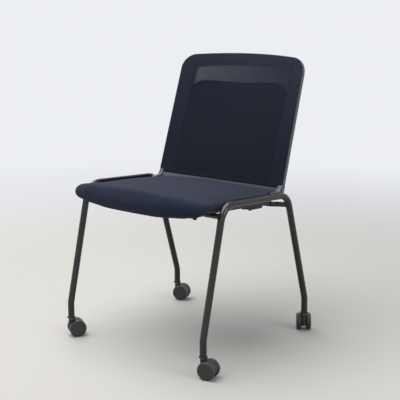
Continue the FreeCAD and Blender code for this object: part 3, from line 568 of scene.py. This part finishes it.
def inflate(piece, pressure, cap, isHeld):
    # presses the cover outwards, holding the points for which isHeld is true
    mesh = piece.data
    before = np.empty(len(mesh.vertices) * 3)
    mesh.vertices.foreach_get("co", before)
    held = piece.vertex_groups.new(name="held")
    held.add([v.index for v in mesh.vertices if isHeld(v.co)], 1.0, "REPLACE")
    cloth = piece.modifiers.new("Cloth", "CLOTH")
    cloth.settings.quality = cover["quality"]
    cloth.settings.mass = cover["mass"]
    cloth.settings.tension_stiffness = cover["stiffness"]
    cloth.settings.compression_stiffness = cover["stiffness"]
    cloth.settings.use_pressure = True
    cloth.settings.uniform_pressure_force = pressure
    cloth.settings.effector_weights.gravity = 0
    cloth.settings.vertex_group_mass = "held"
    cloth.point_cache.frame_start, cloth.point_cache.frame_end = 1, cover["frames"]
    scene = bpy.context.scene
    for step in range(1, cover["frames"] + 1):
        scene.frame_set(step)
        bpy.context.view_layer.update()
    graph = bpy.context.evaluated_depsgraph_get()
    moved = piece.evaluated_get(graph).to_mesh()
    after = np.empty(len(moved.vertices) * 3)
    moved.vertices.foreach_get("co", after)
    piece.evaluated_get(graph).to_mesh_clear()
    piece.modifiers.clear()
    scene.frame_set(1)
    shift = (after - before).reshape(-1, 3)
    length = np.linalg.norm(shift, axis=1, keepdims=True)
    shift *= np.minimum(1.0, cap / np.maximum(length, 1e-9))
    shift = evenOut(mesh, shift, cover["spreadRounds"])
    mesh.vertices.foreach_set("co", (before.reshape(-1, 3) + shift).ravel())
    mesh.update()
    piece.vertex_groups.clear()
    return piece


def toSeat(point):
    # a point in the seat's own tilted frame
    return Matrix.Rotation(-seat["tilt"], 3, "X") @ (Vector(point) - seat["origin"])


def drawWeave(mesh, placeOf):
    layer = mesh.uv_layers.new(name="weave")
    places = [placeOf(v.co, v.normal) for v in mesh.vertices]
    for loop in mesh.loops:
        layer.data[loop.index].uv = places[loop.vertex_index]


def seatWeave(point, normal):
    # the cover's run over the top, round the lip and back underneath
    local = toSeat(point)
    centreY, centreZ = seat["lipCentre"]
    across = local.x + math.copysign(1.0, local.x) * abs(normal.x) ** 2 * (seat["edgeHeight"] - local.z)
    if local.y > centreY:
        along = -(local.y - centreY) if local.z > centreZ else math.pi * seat["lipRadius"] + local.y - centreY
    else:
        along = math.atan2(centreY - local.y, local.z - centreZ) * seat["lipRadius"]
    return across, along


def fromSeat(local):
    return Matrix.Rotation(seat["tilt"], 3, "X") @ local + seat["origin"]


def blendStep(value, start, end):
    share = max(0.0, min(1.0, (value - start) / (end - start)))
    return share * share * (3 - 2 * share)


def plumpEdges(piece):
    # foam rounds the solid's square edges: a full nose along the lip, a smaller roll at the sides
    edge = roundedLine([(c[0] * mm, c[1] * mm, (c[2] if len(c) > 2 else 0) * mm) for c in seat["plan"]])
    for v in piece.data.vertices:
        local = toSeat(v.co)
        lip = 1 - blendStep(local.y, seat["lipFrom"], seat["lipTo"])
        middle = seat["bottom"] + (seat["noseMiddle"] - seat["bottom"]) * lip
        rounding = seat["sideRound"] + (seat["noseRound"] - seat["sideRound"]) * lip
        spot = Vector((abs(local.x), local.y))
        share = min(1.0, (nearestOn(edge, spot) - spot).length / rounding)
        height = (1 - (1 - share) ** seat["fullness"]) ** (1 / seat["fullness"])
        local.z = middle + (local.z - middle) * height
        out = blendStep(abs(local.x), seat["cornerFrom"], seat["cornerTo"]) * lip
        local.y -= seat["cornerForward"] * out
        local.z -= seat["cornerDrop"] * out * (1 if local.z < middle else 0.5)
        v.co = fromSeat(local)
    piece.data.update()


def restsOnPan(point):
    local = toSeat(point)
    return local.z < seat["restHeight"] and local.y > -seat["restBehind"]


def makeSeat():
    piece = easedCopy("seat_cushion", seat["voxel"], 2)
    plumpEdges(piece)
    reskin(piece, seat["voxel"], seat["easing"])
    inflate(piece, seat["pressure"], seat["cap"], restsOnPan)
    refine(piece)
    drawWeave(piece.data, seatWeave)
    piece.name = "seat_cushion_cover"
    settle(piece, "base", ["seat_cushion"])
    return piece


makeSeat()
print("seat cushion made")


# Back pad behind the knit

def backWeave(point, normal):
    local = Vector(point) - back["foot"]
    return local.x, local.dot(backUp)


def makeBackPad():
    piece = easedCopy("back_pad", backPad["voxel"], backPad["easing"])
    inflate(piece, backPad["pressure"], backPad["cap"], lambda co: False)
    # the knit holds the foam back
    for v in piece.data.vertices:
        x, height = backWeave(v.co, v.normal)
        limit = back["sheetNear"] + padBulge(x, height) - backPad["behindKnit"]
        over = (backPoint(x, height, limit) - v.co).dot(backRear)
        if over > 0:
            v.co += backRear * over
    refine(piece)
    drawWeave(piece.data, backWeave)
    piece.name = "back_pad_foam"
    settle(piece, "base", ["back_pad"])
    return piece


makeBackPad()
print("back pad made")


# Knitted sheet over the back frame, open where nothing lies behind it

netZone = {"low": 284 * mm, "high": 392 * mm, "side": 190 * mm, "lap": 4 * mm, "holeShare": 0.4}


def backOutline():
    # right half of the panel's edge, from its foot up and over to the middle of the crown
    shoulder = back["height"] - back["crown"]
    half = backHalf(shoulder)
    peak = shoulder + knitSheet["crownSlope"] * half
    line = roundedLine([
        (backHalf(knitSheet["notchTop"]), knitSheet["notchTop"]),
        (half, shoulder, back["corner"]),
        (0, peak, knitSheet["crownRadius"]),
        (-half, shoulder),
    ])
    # the foot is notched around the rail's feet
    notch = Vector((knitSheet["notchSide"], knitSheet["notchTop"]))
    return [Vector((notch.x, knitSheet["lowest"])), notch] + [p for p in line if p.x >= -1e-9]


def insideEdge(edge, x, height):
    # the edge runs up the right side and inwards along the crown
    inside = False
    closed = edge + [Vector((0, edge[0].y))]
    for a, b in zip(closed, closed[1:] + closed[:1]):
        if (a.y > height) != (b.y > height) and x < a.x + (b.x - a.x) * (height - a.y) / (b.y - a.y):
            inside = not inside
    return inside


def flatKnit():
    # a square grid trimmed to the panel's outline, its rim drawn out to the edge
    edge = backOutline()
    cell = back["cell"]
    columns = int(back["halfFoot"] / cell) + 2
    rows = int((back["height"] - knitSheet["lowest"]) / cell) + 3
    shape = bmesh.new()
    grid = {}
    for i in range(-columns, columns + 1):
        for j in range(rows):
            grid[i, j] = shape.verts.new((i * cell, knitSheet["lowest"] + j * cell, 0))
    for i in range(-columns, columns):
        for j in range(rows - 1):
            middle = Vector(((i + 0.5) * cell, knitSheet["lowest"] + (j + 0.5) * cell))
            if insideEdge(edge, abs(middle.x), middle.y):
                shape.faces.new([grid[i, j], grid[i + 1, j], grid[i + 1, j + 1], grid[i, j + 1]])
    bmesh.ops.delete(shape, geom=[v for v in shape.verts if not v.link_faces], context="VERTS")
    for v in shape.verts:
        if v.is_boundary and v.co.y > knitSheet["lowest"] + 0.1 * mm:
            near = nearestOn(edge, Vector((abs(v.co.x), v.co.y)))
            v.co.x = math.copysign(near.x, v.co.x)
            v.co.y = near.y
    mesh = bpy.data.meshes.new("back_knit")
    shape.to_mesh(mesh)
    shape.free()
    return mesh


def startTree(name, sizes, seed=None):
    # a Geometry Nodes tree with its named inputs
    tree = bpy.data.node_groups.new(name, "GeometryNodeTree")
    face = tree.interface
    face.new_socket("Geometry", in_out="INPUT", socket_type="NodeSocketGeometry")
    for label, value in sizes.items():
        face.new_socket(label, in_out="INPUT", socket_type="NodeSocketFloat").default_value = value
    if seed is not None:
        face.new_socket("Seed", in_out="INPUT", socket_type="NodeSocketInt").default_value = seed
    face.new_socket("Material", in_out="INPUT", socket_type="NodeSocketMaterial")
    face.new_socket("Geometry", in_out="OUTPUT", socket_type="NodeSocketGeometry")
    return tree, addNode(tree, "NodeGroupInput").outputs


def endTree(tree, shape, material):
    real = addNode(tree, "GeometryNodeRealizeInstances", {0: shape})
    coloured = addNode(tree, "GeometryNodeSetMaterial", {0: real.outputs[0], 2: material})
    addNode(tree, "NodeGroupOutput", {0: coloured.outputs[0]})
    return tree


def netTree():
    # inside the named zone, and off the pad, each cell is quartered and opened by a small square hole
    tree, given = startTree("openNet", {
        "Low": netZone["low"], "High": netZone["high"], "Side": netZone["side"],
        "Hole Share": netZone["holeShare"],
        "Pad Side": backHalf(back["padTop"]) - back["ringSide"] - back["padCorner"],
        "Pad Top": back["padTop"] - back["padCorner"], "Pad Corner": back["padCorner"] - netZone["lap"],
    })
    place = addNode(tree, "GeometryNodeInputPosition").outputs[0]
    apart = addNode(tree, "ShaderNodeSeparateXYZ", {0: place}).outputs
    aboveLow = calc(tree, "GREATER_THAN", apart[1], given["Low"])
    belowHigh = calc(tree, "LESS_THAN", apart[1], given["High"])
    within = calc(tree, "LESS_THAN", calc(tree, "ABSOLUTE", apart[0]), given["Side"])
    reach = pastCorner(tree, apart[0], apart[1], given["Pad Side"], given["Pad Top"])
    within = calc(tree, "MULTIPLY", within, calc(tree, "GREATER_THAN", reach, given["Pad Corner"]))
    chosen = calc(tree, "MULTIPLY", calc(tree, "MULTIPLY", aboveLow, belowHigh), within)
    split = addNode(tree, "GeometryNodeSeparateGeometry", {0: given["Geometry"], 1: chosen}, domain="FACE")
    finer = addNode(tree, "GeometryNodeSubdivideMesh", {0: split.outputs[0], 1: 1})
    flatRise = {0: finer.outputs[0], "Offset Scale": 0.0, "Individual": True}
    drawn = addNode(tree, "GeometryNodeExtrudeMesh", flatRise).outputs
    smaller = {0: drawn[0], 1: drawn["Top"], 2: given["Hole Share"]}
    shrunk = addNode(tree, "GeometryNodeScaleElements", smaller).outputs[0]
    opened = addNode(tree, "GeometryNodeDeleteGeometry", {0: shrunk, 1: drawn["Top"]}, domain="FACE")
    joined = addNode(tree, "GeometryNodeJoinGeometry")
    tree.links.new(opened.outputs[0], joined.inputs[0])
    tree.links.new(split.outputs[1], joined.inputs[0])
    welded = addNode(tree, "GeometryNodeMergeByDistance", {0: joined.outputs[0], 2: 0.02 * mm})
    return endTree(tree, welded.outputs[0], given["Material"])


def addTree(piece, tree, material, **amounts):
    grown = piece.modifiers.new(tree.name, "NODES")
    grown.node_group = tree
    for item in tree.interface.items_tree:
        if item.in_out == "INPUT" and item.name in amounts:
            grown[item.identifier] = amounts[item.name]
        if item.in_out == "INPUT" and item.name == "Material":
            grown[item.identifier] = material
    return bake(piece)


def makeBackKnit():
    piece = newPiece("back_knit", flatKnit(), finishes["back"])
    addTree(piece, netTree(), finishes["back"])
    mesh = piece.data
    layer = mesh.uv_layers.new(name="weave")
    flat = [v.co.copy() for v in mesh.vertices]
    for loop in mesh.loops:
        layer.data[loop.index].uv = flat[loop.vertex_index].xy
    for v in mesh.vertices:
        x, height = v.co.x, v.co.y
        v.co = backPoint(x, height, back["sheetNear"] + padBulge(x, height))
    mesh.update()
    thick = piece.modifiers.new("Solidify", "SOLIDIFY")
    thick.thickness = back["sheetThick"]
    thick.offset = 1.0
    bake(piece)
    shadeSmooth(piece)
    settle(piece, "base", ["back_mesh"])
    return piece


makeBackKnit()
print("back knit made")


# Rigid mouldings with their edges eased as they leave the mould

easing = {
    "back_frame": 1.6 * mm, "back_rail": 1.4 * mm, "back_board": 0.8 * mm, "seat_pan": 1.2 * mm,
    "back_arm_left": 1.5 * mm, "back_arm_right": 1.5 * mm,
    "seat_clamp_left": 1.0 * mm, "seat_clamp_right": 1.0 * mm,
}


def easeMoulding(nodeName, width):
    mesh, shape = mergedCopy(nodeName)
    bmesh.ops.dissolve_limit(shape, angle_limit=math.radians(1.5), verts=shape.verts, edges=shape.edges)
    shape.to_mesh(mesh)
    shape.free()
    finish = nodes[nodeName].material_slots[0].material
    piece = newPiece(nodeName + "_moulded", mesh, finish)
    eased = piece.modifiers.new("Bevel", "BEVEL")
    eased.width = width
    eased.segments = 3
    eased.limit_method = "ANGLE"
    eased.angle_limit = math.radians(40)
    eased.use_clamp_overlap = True
    eased.harden_normals = True
    bake(piece)
    settle(piece, "base", [nodeName])


for name, width in easing.items():
    easeMoulding(name, width)
print("mouldings eased:", len(easing))


# Weld beads where the cross tubes meet the side tubes

weld = {
    "tube": 9.55 * mm, "cross": 7.5 * mm, "ripple": 1.9 * mm, "pitch": 1.5 * mm, "flatten": 0.55,
    "uneven": 0.08, "seed": 7,
}
# each place with the leg's and the cross tube's directions, front then rear
weldPlaces = []
for side in (-1, 1):
    front, rear = Vector((254 * side, -164.25, 421)) * mm, Vector((254 * side, 146.2, 405.3)) * mm
    weldPlaces.append((front, Vector((0, 82.9, 348)), Vector((-side, 0, 0))))
    weldPlaces.append((rear, Vector((0, -103, 332.1)), Vector((-47 * side, -30, 0))))


def saddle(place, legAxis, crossAxis, count=40):
    # where a cross tube's wall meets the leg's wall
    leg, along = legAxis.normalized(), crossAxis.normalized()
    first = along.orthogonal().normalized()
    second = along.cross(first)
    points = []
    for k in range(count):
        turn = math.tau * k / count
        offset = (first * math.cos(turn) + second * math.sin(turn)) * weld["cross"]
        flatOffset, flatAlong = offset - leg * offset.dot(leg), along - leg * along.dot(leg)
        a, b = flatAlong.length_squared, 2 * flatAlong.dot(flatOffset)
        c = flatOffset.length_squared - weld["tube"] ** 2
        reach = (-b + math.sqrt(max(0.0, b * b - 4 * a * c))) / (2 * a)
        points.append(place + offset + along * reach)
    return points


def rippleTree():
    sizes = {"Ripple Radius": weld["ripple"], "Pitch": weld["pitch"], "Flatten": weld["flatten"]}
    tree, given = startTree("weldRipples", sizes, seed=weld["seed"])
    line = addNode(tree, "GeometryNodeMeshToCurve", {0: given["Geometry"]})
    steps = {0: line.outputs[0], "Length": given["Pitch"]}
    points = addNode(tree, "GeometryNodeCurveToPoints", steps, mode="LENGTH")
    drop = addNode(tree, "GeometryNodeMeshIcoSphere", {"Radius": given["Ripple Radius"], "Subdivisions": 2})
    squash = addNode(tree, "ShaderNodeCombineXYZ", {0: 1.0, 1: 1.0, 2: given["Flatten"]})
    spread = {"Min": (1 - weld["uneven"],) * 3, "Max": (1 + weld["uneven"],) * 3, "Seed": given["Seed"]}
    uneven = addNode(tree, "FunctionNodeRandomValue", spread, data_type="FLOAT_VECTOR")
    scale = addNode(
        tree, "ShaderNodeVectorMath", {0: squash.outputs[0], 1: uneven.outputs[0]}, operation="MULTIPLY"
    )
    placed = addNode(tree, "GeometryNodeInstanceOnPoints", {
        "Points": points.outputs[0], "Instance": drop.outputs[0], "Rotation": points.outputs["Rotation"],
        "Scale": scale.outputs[0],
    })
    return endTree(tree, placed.outputs[0], given["Material"])


def makeWelds():
    corners, edges = [], []
    for place, legAxis, crossAxis in weldPlaces:
        ring = saddle(place, legAxis, crossAxis)
        start = len(corners)
        corners += [tuple(p) for p in ring]
        edges += [(start + k, start + (k + 1) % len(ring)) for k in range(len(ring))]
    mesh = bpy.data.meshes.new("weld_beads")
    mesh.from_pydata(corners, edges, [])
    piece = newPiece("weld_beads", mesh, finishes["coat"])
    addTree(piece, rippleTree(), finishes["coat"])
    shadeSmooth(piece)
    settle(piece, "base")


makeWelds()
print("weld beads made")


# Floor, lamps and world

stage = {
    "near": "#d3d0ca", "far": "#eceef2", "fadeFrom": 1.0, "fadeTo": 3.4, "half": 30.0,
    "roughness": 0.6, "specular": 0.15, "world": "#f1f4fb", "worldStrength": 0.3, "aim": (0, 0, 0.4),
    "lamps": [((-0.7, -0.6, 3.1), 100, 3.4), ((2.9, 0.2, 1.7), 20, 1.4), ((-2.3, 1.0, 2.0), 12, 1.6)],
}


def makeStage():
    half = stage["half"]
    corners = [(-half, -half, 0), (half, -half, 0), (half, half, 0), (-half, half, 0)]
    mesh = meshFrom("floor", corners, [(0, 1, 2, 3)])
    material, tree, shader = startMaterial("pale floor", stage["near"], stage["roughness"])
    place = objectPlace(tree)
    distance = addNode(tree, "ShaderNodeVectorMath", {0: place}, operation="LENGTH").outputs["Value"]
    rings = {0: distance, 1: stage["fadeFrom"], 2: stage["fadeTo"]}
    fade = addNode(tree, "ShaderNodeMapRange", rings, interpolation_type="SMOOTHSTEP")
    shade(tree, shader, fade.outputs[0], stage["near"], stage["far"])
    shader.inputs["Specular IOR Level"].default_value = stage["specular"]
    # far off the floor turns into the plain backdrop
    backdrop = addNode(tree, "ShaderNodeEmission", {0: toLinear(stage["far"]), 1: 1.0})
    ray = addNode(tree, "ShaderNodeLightPath").outputs
    looked = calc(tree, "MAXIMUM", ray["Is Camera Ray"], ray["Is Glossy Ray"])
    share = calc(tree, "MULTIPLY", fade.outputs[0], looked)
    mixed = addNode(tree, "ShaderNodeMixShader", {0: share, 1: shader.outputs[0], 2: backdrop.outputs[0]})
    tree.links.new(mixed.outputs[0], tree.nodes["Material Output"].inputs[0])
    newPiece("floor", mesh, material)
    for place, power, width in stage["lamps"]:
        light = bpy.data.lights.new("softbox", "AREA")
        light.shape = "DISK"
        light.size = width
        light.energy = power
        lamp = bpy.data.objects.new("softbox", light)
        bpy.context.scene.collection.objects.link(lamp)
        lamp.location = place
        lamp.rotation_mode = "QUATERNION"
        lamp.rotation_quaternion = (Vector(stage["aim"]) - Vector(place)).to_track_quat("-Z", "Y")
    world = bpy.data.worlds.new("studio")
    bpy.context.scene.world = world
    world.use_nodes = True
    tree = world.node_tree
    tree.nodes.clear()
    ray = addNode(tree, "ShaderNodeLightPath").outputs
    bounced = calc(tree, "MAXIMUM", ray["Is Glossy Ray"], ray["Is Transmission Ray"])
    seen = calc(tree, "MAXIMUM", ray["Is Camera Ray"], bounced)
    lit = addNode(tree, "ShaderNodeBackground", {0: toLinear(stage["world"]), 1: stage["worldStrength"]})
    shown = addNode(tree, "ShaderNodeBackground", {0: toLinear(stage["far"]), 1: 1.0})
    mixed = addNode(tree, "ShaderNodeMixShader", {0: seen, 1: lit.outputs[0], 2: shown.outputs[0]})
    addNode(tree, "ShaderNodeOutputWorld", {0: mixed.outputs[0]})


makeStage()
bpy.context.scene.view_settings.view_transform = "Standard"
print("stage and lamps set")
